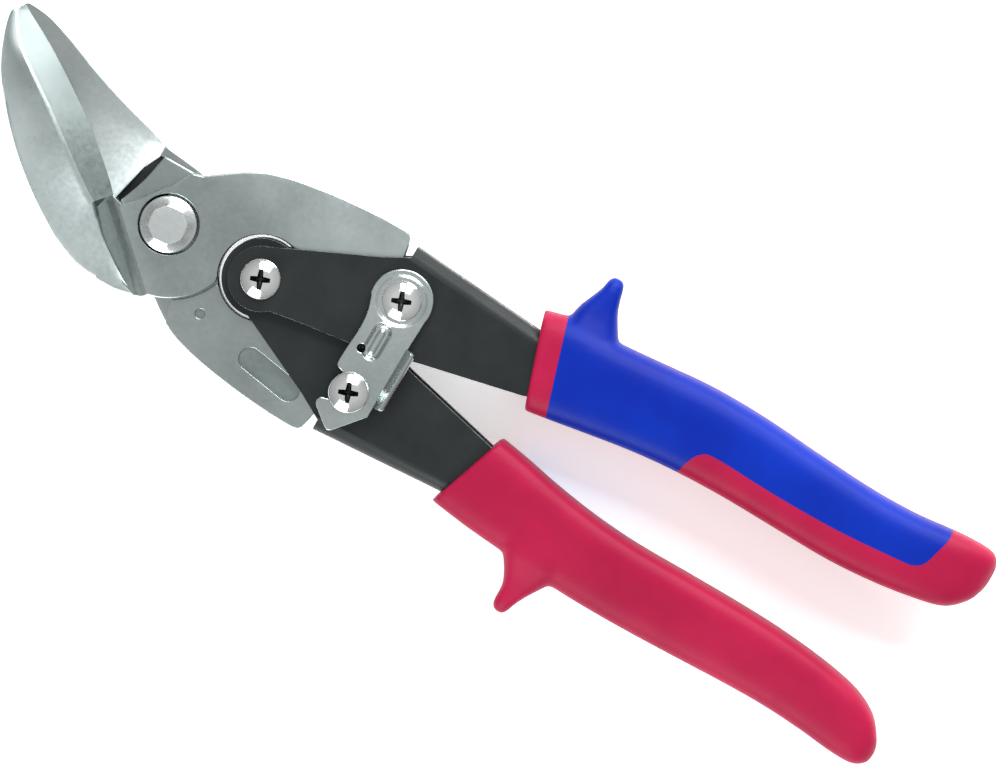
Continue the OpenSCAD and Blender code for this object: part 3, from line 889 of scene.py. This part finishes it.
LATCH_LOW = 6.05
LATCH_T = 1.3
LATCH_RISE = 0.5
LATCH_TOP = LATCH_LOW + LATCH_RISE + LATCH_T
# Where the plate steps up past the screw, and over what length
STEP_AT = 5.2
STEP_RUN = 1.6
# Radii of the dish's wall round the screw
DISH_WALL = (4.8, 5.9)
# The louvre: its middle, half the length of its ridge, its height and the depth of its hollow
# crown, and how far from the ridge the walls of both lie
LOUVRE_AT = (51.3, 1.1)
LOUVRE_HALF = 2.2
LOUVRE_H = 1.1
LOUVRE_WALL = (1.2, 2.3)
CROWN_DEPTH = 0.6
CROWN_WALL = (0.2, 1.1)
# The thumb tab: its ends, where it leaves the plate and bends, its fold, its straight part at
# the ends and how much longer it is between them, how much thinner than the plate it is on each
# side, and its rounded edge
TAB_LOW, TAB_HIGH = -11.5, 2.9
TAB_ROOT = 56.6
TAB_BEND = 57.3
TAB_FOLD = math.radians(50)
BEND_R = 1.1
TAB_SHORT = 1.15
TAB_CORNER = 1.0
TAB_INSET = 0.02
TAB_TIP = 0.3


def latch_outline():
    """Round end, straight sides, hook slot open to the left, and the pointed foot."""
    left = smooth_line([(45.2, 9.2), (46.2, 6), (46.6, 2), (46.3, -3), (46.2, -5.8)], 4)
    return outline([(57.7, -13.9), (57.8, -8), (57.9, 4)],
                   arc(P2, 6.8, -12, 196, 40), left,
                   arc((47.6, -6.6), 1.4, 170, 245, 6), [(48.6, -8.3), (51.5, -9.0)],
                   arc(P3, 2.05, 80, -88, 16), [(50, -14.05), (48.4, -14.65), (47.1, -15.0)],
                   [(46.6, -15.3), (46.3, -16.0), (46.5, -16.8), (47.0, -17.4)],
                   [(50.7, -20.3), (51.5, -20.7), (52.2, -20.4)])


def latch_top(x, y):
    """Dish round the screw and a pressed louvre with a hollow crown."""
    dish = 1 - ramp(np.hypot(x - P2.x, y - P2.y), *DISH_WALL)
    long_way = np.maximum(np.abs(y - LOUVRE_AT[1]) - LOUVRE_HALF, 0)
    off = np.hypot(x - LOUVRE_AT[0], long_way)
    louvre = 1 - ramp(off, *LOUVRE_WALL)
    crown = 1 - ramp(off, *CROWN_WALL)
    return LATCH_TOP - LATCH_RISE * dish + LOUVRE_H * louvre - CROWN_DEPTH * crown


def latch_bottom(x, y):
    """Low under the dished end, and a step up past it."""
    return LATCH_LOW + LATCH_RISE * ramp(STEP_AT - y, 0, STEP_RUN)


def latch_tab():
    """Folded thumb tab along the plate's right side, with rounded corners."""
    half = LATCH_T / 2 - TAB_INSET
    middle = LATCH_TOP - LATCH_T / 2
    along, up = math.cos(TAB_FOLD), math.sin(TAB_FOLD)
    ends = [(0, 0.0), (0.15, 0.45), (0.5, 0.85), (1.0, 1.0)]
    stations = [(TAB_LOW + d, k) for d, k in ends]
    stations += [(TAB_HIGH - d, k) for d, k in reversed(ends)]
    rings = []
    for y, k in stations:
        straight = TAB_SHORT + TAB_CORNER * k
        path = [(TAB_ROOT, 0.0, 0.0), (TAB_BEND, 0.0, 0.0)]
        for t in np.linspace(0.2, 1, 5):
            a = TAB_FOLD * t
            path.append((TAB_BEND + BEND_R * math.sin(a), BEND_R * (1 - math.cos(a)), a))
        x, z, a = path[-1]
        x, z = x + straight * along, z + straight * up
        path.append((x, z, a))
        below = [(u + half * math.sin(a), y, middle + v - half * math.cos(a)) for u, v, a in path]
        above = [(u - half * math.sin(a), y, middle + v + half * math.cos(a)) for u, v, a in path]
        tip = (x + TAB_TIP * along, y, middle + z + TAB_TIP * up)
        rings.append(np.array([*below, tip, *above[::-1]]))
    return loft(rings)


def make_latch():
    """The latch plate with its screw hole and its small hole, and the thumb tab."""
    holes = [circle(P2, SCREW_R + 0.15, 32), circle((49.1, -1.75), 0.9, 24)]
    base = plate(latch_outline(), holes, latch_top, latch_bottom, step=0.3, edge=0.3)
    thing = piece("latch_pressing", keep_apart(base, latch_tab()), "latch_steel", "latch",
                  "latch", sharp=50)
    even_normals(thing)


make_latch()


# ---------------------------------------------------------------- grips

# Each station of a grip: lower edge, upper edge, half thickness
UPPER_GRIP = [
    (85.9, 3.8, 78.9, 24.6, 7.6),
    (92, 4.8, 86, 26.2, 8.2),
    (100, 6.2, 95.5, 26.4, 8.6),
    (110, 7.8, 107, 27.4, 8.8),
    (120, 8.8, 118, 28.4, 9),
    (132, 9.2, 131, 28.4, 9),
    (146, 9, 146, 27.4, 9),
    (158, 8.9, 159, 26.7, 8.9),
    (168, 9.6, 169.5, 26.9, 8.7),
    (177, 10.9, 178.5, 27.9, 8.3),
    (184.5, 12.8, 184.5, 28.3, 7.2),
    (188.7, 16.6, 188.6, 27.9, 5),
    (190.4, 20.6, 190.4, 25.4, 2)]
LOWER_GRIP = [
    (78.4, -23, 84.9, -3.8, 7.6),
    (88, -24.2, 92, -5, 8.2),
    (98, -25, 100, -6.6, 8.6),
    (109, -26, 110, -8.1, 8.9),
    (121, -26.3, 121, -8.9, 9),
    (135, -26, 135, -8.9, 9),
    (150, -25.4, 150, -9, 9),
    (161, -25.2, 160, -9.5, 8.9),
    (171, -25.7, 170, -10.6, 8.7),
    (179, -26.5, 178, -12.3, 8.2),
    (184.5, -26.5, 183.5, -15.1, 7),
    (187.2, -25, 186.7, -18.9, 4.6),
    (187.9, -23.4, 187.9, -21.4, 2)]
# Each station of a finger stop: two sides, half thickness
UPPER_STOP = [
    (82.8, 19, 100.2, 19, 7.6),
    (83.6, 23.2, 98.4, 23.2, 7.0),
    (84.3, 26.2, 96.2, 26.2, 5.9),
    (84.8, 29, 94.4, 29, 4.9),
    (86, 32, 92.7, 32, 4.2),
    (87.2, 35, 91.7, 35, 3.7),
    (87.5, 37, 91.2, 37, 3.1),
    (88.3, 38.3, 90.4, 38.3, 1.8)]
LOWER_STOP = [
    (112.4, -16, 94.4, -16, 7.6),
    (111.4, -22.4, 95.8, -22.4, 7.0),
    (109.8, -25.4, 97.6, -25.4, 6.0),
    (107.9, -28.4, 99.3, -28, 5.0),
    (106.1, -31.4, 100.6, -31, 4.2),
    (104.9, -34, 100.7, -33.6, 3.7),
    (104.4, -35.6, 100.8, -35.3, 3.0),
    (103.6, -36.7, 101.6, -36.6, 1.7)]
GRIP_SIDES = 72
GRIP_POWER = 0.56
VOXEL = 0.5
SMOOTH_SHARE = 0.5
SMOOTH_ROUNDS = 14
# How much the sections thin towards one edge, and how far below the middle plane the blue
# mouldings part from the red ones
UPPER_LEAN = 0.05
LOWER_LEAN = 0.3
PARTING = 1.0
LOWER_PARTING = 3.0
# Cutting tools reach this far from the middle plane
REACH = 20
# The pocket for the lever's tang: its end, its play and its heights
TANG_X = 165
TANG_PLAY = 0.06
TANG_LOW, TANG_HIGH = -3.46, 5.56


def grip_ring(s, lean):
    """Rounded box section between a station's two edges; lean thins it towards the first."""
    low, high = s[0:2], s[2:4]
    turn = 2 * math.pi * np.arange(GRIP_SIDES) / GRIP_SIDES
    c = np.sign(np.cos(turn)) * np.abs(np.cos(turn)) ** GRIP_POWER
    d = np.sign(np.sin(turn)) * np.abs(np.sin(turn)) ** GRIP_POWER * (1 - lean * (1 - c) / 2)
    plan = (low + high) / 2 + np.outer(c, (high - low) / 2)
    return np.column_stack([plan, s[4] * d])


def grip_form(name, grip, stop, lean):
    """One smooth body from the lofted grip and its finger stop."""
    forms = [loft([grip_ring(s, tilt) for s in smooth_line(stations, steps)])
             for stations, steps, tilt in ((grip, 12, lean), (stop, 6, 0.0))]
    thing = piece(name, keep_apart(*forms), "red_grip", None)
    remesh = thing.modifiers.new("remesh", "REMESH")
    remesh.mode = "VOXEL"
    remesh.voxel_size = VOXEL * MM
    smooth = thing.modifiers.new("smooth", "SMOOTH")
    smooth.factor = SMOOTH_SHARE
    smooth.iterations = SMOOTH_ROUNDS
    bake(thing)
    return thing


def prism(shape, low, high):
    """Vertices and faces of an upright prism."""
    n = len(shape)
    verts = [(x, y, z) for z in (low, high) for x, y in shape]
    sides = [[k, (k + 1) % n, n + (k + 1) % n, n + k] for k in range(n)]
    return verts, sides + [list(range(n))[::-1], list(range(n, 2 * n))]


def tang_outline():
    """The lever's tang inside the grip, in plan, with play at its sides and its end."""
    gap = TANG_PLAY
    return outline([(74, 4.1 - gap), (84, 6.6 - gap), (95, 11 - gap), (TANG_X + gap, 14 - gap),
                    (TANG_X + gap, 22 + gap), (84, 20.6 + gap), (80, 20.5 + gap),
                    (74, 21.1 + gap)])


def cover_outline():
    """Blue area of a grip, seen from the side that carries it."""
    seam = smooth_line([(119.9, 6), (120.9, 9.9), (121.5, 12.3), (123, 15), (126.4, 16.1),
                        (140, 15.7), (155.3, 15.8), (169.8, 16.9), (174.1, 17.5), (176.2, 19.2),
                        (177.2, 22.4), (178.1, 25.7)], 5)
    return outline([(83.6, 27.4), (91.9, 1)], [(119.7, 1)], seam, [(178.4, 42), (83.6, 42)])


def stop_outline():
    """Blue area of the upper grip's finger stop, which goes right through."""
    return outline([(83.6, 27.4), (84.2, 25.4), (99, 26), (97, 42), (83.6, 42)])


def copy_of(thing, name):
    """A separate copy of a piece and its mesh."""
    twin = thing.copy()
    twin.data = thing.data.copy()
    twin.name = name
    twin.data.name = name
    bpy.context.scene.collection.objects.link(twin)
    return twin


def make_grip(side, form, cover, pocket, body):
    """Splits one grip into the red moulding and the blue one round the tang."""
    for share, slot, operation in (("body", "red_grip", "DIFFERENCE"),
                                   ("cover", "blue_grip", "INTERSECT")):
        part = copy_of(form, f"{side}_grip_{share}_moulding")
        boolean(part, piece("room", cover, slot, None), operation)
        boolean(part, piece("pocket", pocket, slot, None), "DIFFERENCE")
        paint(part, SLOT_MATERIAL[slot])
        shade(part, 40)
        settle(part, slot, body, f"{side}_grip_{share}")
    bpy.data.objects.remove(form)


def joined(first, second):
    """One solid from two overlapping ones."""
    a = piece("first", first, "red_grip", None)
    boolean(a, piece("second", second, "red_grip", None), "UNION")
    verts = [(v.co.x / MM, v.co.y / MM, (v.co.z - MID_Z) / MM) for v in a.data.vertices]
    faces = [list(p.vertices) for p in a.data.polygons]
    bpy.data.objects.remove(a)
    return verts, faces


def make_grips():
    """Both grips, each a red moulding and a blue one round the tang."""
    pocket = prism(tang_outline(), TANG_LOW, TANG_HIGH)
    upper = joined(prism(cover_outline(), -PARTING, REACH),
                   prism(stop_outline(), -REACH, REACH - 1))
    make_grip("upper", grip_form("upper_form", UPPER_GRIP, UPPER_STOP, UPPER_LEAN), upper,
              pocket, "upper_handle")
    lower = flipped(prism(cover_outline(), LOWER_PARTING, REACH))
    make_grip("lower", grip_form("lower_form", LOWER_GRIP, LOWER_STOP, LOWER_LEAN), lower,
              flipped(pocket), "lower_handle")


make_grips()


# ---------------------------------------------------------------- carried-over parts

REPLACED = {"lower_blade", "upper_blade", "pivot_bolt", "handle_pivot_screw", "upper_link_screw",
            "lower_link_screw", "return_spring", "latch", "upper_grip_body", "upper_grip_cover",
            "lower_grip_body", "lower_grip_cover"}
for node in NODES:
    if node not in REPLACED:
        finish_node(node)


# ---------------------------------------------------------------- stage, light and camera

# The floor lies just under the tool
FLOOR_Z = -0.0002
FLOOR_SIZE = 6
FLOOR_GLOW = 0.45
# The sky's strength rises from the first value to the second between two heights
SKY_FROM, SKY_TO = 0.1, 0.75
SKY_LOW, SKY_HIGH = 0.2, 0.66


def area_light(name, place, target, size, power):
    """A rectangular light at a place, turned to its target."""
    light = bpy.data.lights.new(name, "AREA")
    light.shape = "RECTANGLE"
    light.size, light.size_y = size
    light.energy = power
    lamp = bpy.data.objects.new(name, light)
    bpy.context.scene.collection.objects.link(lamp)
    lamp.location = place
    lamp.rotation_euler = (Vector(target) - Vector(place)).to_track_quat("-Z", "Y").to_euler()


def make_floor():
    """White paper that glows a little, so that the shadows stay light."""
    bpy.ops.mesh.primitive_plane_add(size=FLOOR_SIZE, location=(0, 0, FLOOR_Z))
    floor = bpy.context.object
    floor.name = "floor"
    paper = principled("paper", (0.97, 0.97, 0.97), 0.0, 0.9, specular=0.1)
    shader = paper.node_tree.nodes["Principled BSDF"]
    shader.inputs["Emission Color"].default_value = (1, 1, 1, 1)
    shader.inputs["Emission Strength"].default_value = FLOOR_GLOW
    floor.data.materials.append(paper)


def make_sky():
    """A white sky that is darker towards the horizon."""
    world = bpy.data.worlds.new("studio")
    world.use_nodes = True
    tree = world.node_tree
    background = tree.nodes["Background"]
    background.inputs["Color"].default_value = (1, 1, 1, 1)
    place = tree.nodes.new("ShaderNodeTexCoord")
    height = tree.nodes.new("ShaderNodeSeparateXYZ")
    fade = tree.nodes.new("ShaderNodeMapRange")
    for socket, value in (("From Min", SKY_FROM), ("From Max", SKY_TO), ("To Min", SKY_LOW),
                          ("To Max", SKY_HIGH)):
        fade.inputs[socket].default_value = value
    tree.links.new(place.outputs["Generated"], height.inputs[0])
    tree.links.new(height.outputs["Z"], fade.inputs["Value"])
    tree.links.new(fade.outputs["Result"], background.inputs["Strength"])
    bpy.context.scene.world = world


# The picture's right and up directions lie along these, seen from above
VIEW_RIGHT = Vector((0.8634, 0.5045, 0))
VIEW_UP = Vector((-0.5045, 0.8634, 0))
VIEW_CENTRE = Vector((78.7 * MM, 5.9 * MM, MID_Z))
VIEW_WIDTH = 214.8 * MM
VIEW_TILT = math.radians(4.5)
CAMERA_DISTANCE = 1.6
SENSOR_WIDTH = 36


def make_camera():
    """The photo's view: nearly straight down, from far away."""
    camera = bpy.data.cameras.new("camera")
    camera.sensor_width = SENSOR_WIDTH
    camera.lens = SENSOR_WIDTH * CAMERA_DISTANCE / VIEW_WIDTH
    holder = bpy.data.objects.new("camera", camera)
    bpy.context.scene.collection.objects.link(holder)
    back = Vector((0, math.sin(VIEW_TILT), math.cos(VIEW_TILT)))
    right = (VIEW_RIGHT - back * VIEW_RIGHT.dot(back)).normalized()
    up = back.cross(right)
    turn = Matrix((right, up, back)).transposed()
    holder.matrix_world = Matrix.Translation(VIEW_CENTRE + back * CAMERA_DISTANCE) @ turn.to_4x4()
    bpy.context.scene.camera = holder


def studio(right, up, height):
    """A place given along the picture's directions, in metres."""
    return VIEW_CENTRE + VIEW_RIGHT * right + VIEW_UP * up + Vector((0, 0, height))


make_floor()
make_sky()
make_camera()
bpy.context.scene.view_settings.view_transform = "Standard"
area_light("key", studio(0.42, 1.25, 1.2), VIEW_CENTRE, (1.2, 0.6), 28)
area_light("rim_right", studio(0.65, 1.0, 0.28), VIEW_CENTRE, (0.7, 0.4), 13)
area_light("rim_left", studio(-0.55, -1.05, 0.62), VIEW_CENTRE, (0.8, 0.7), 14)
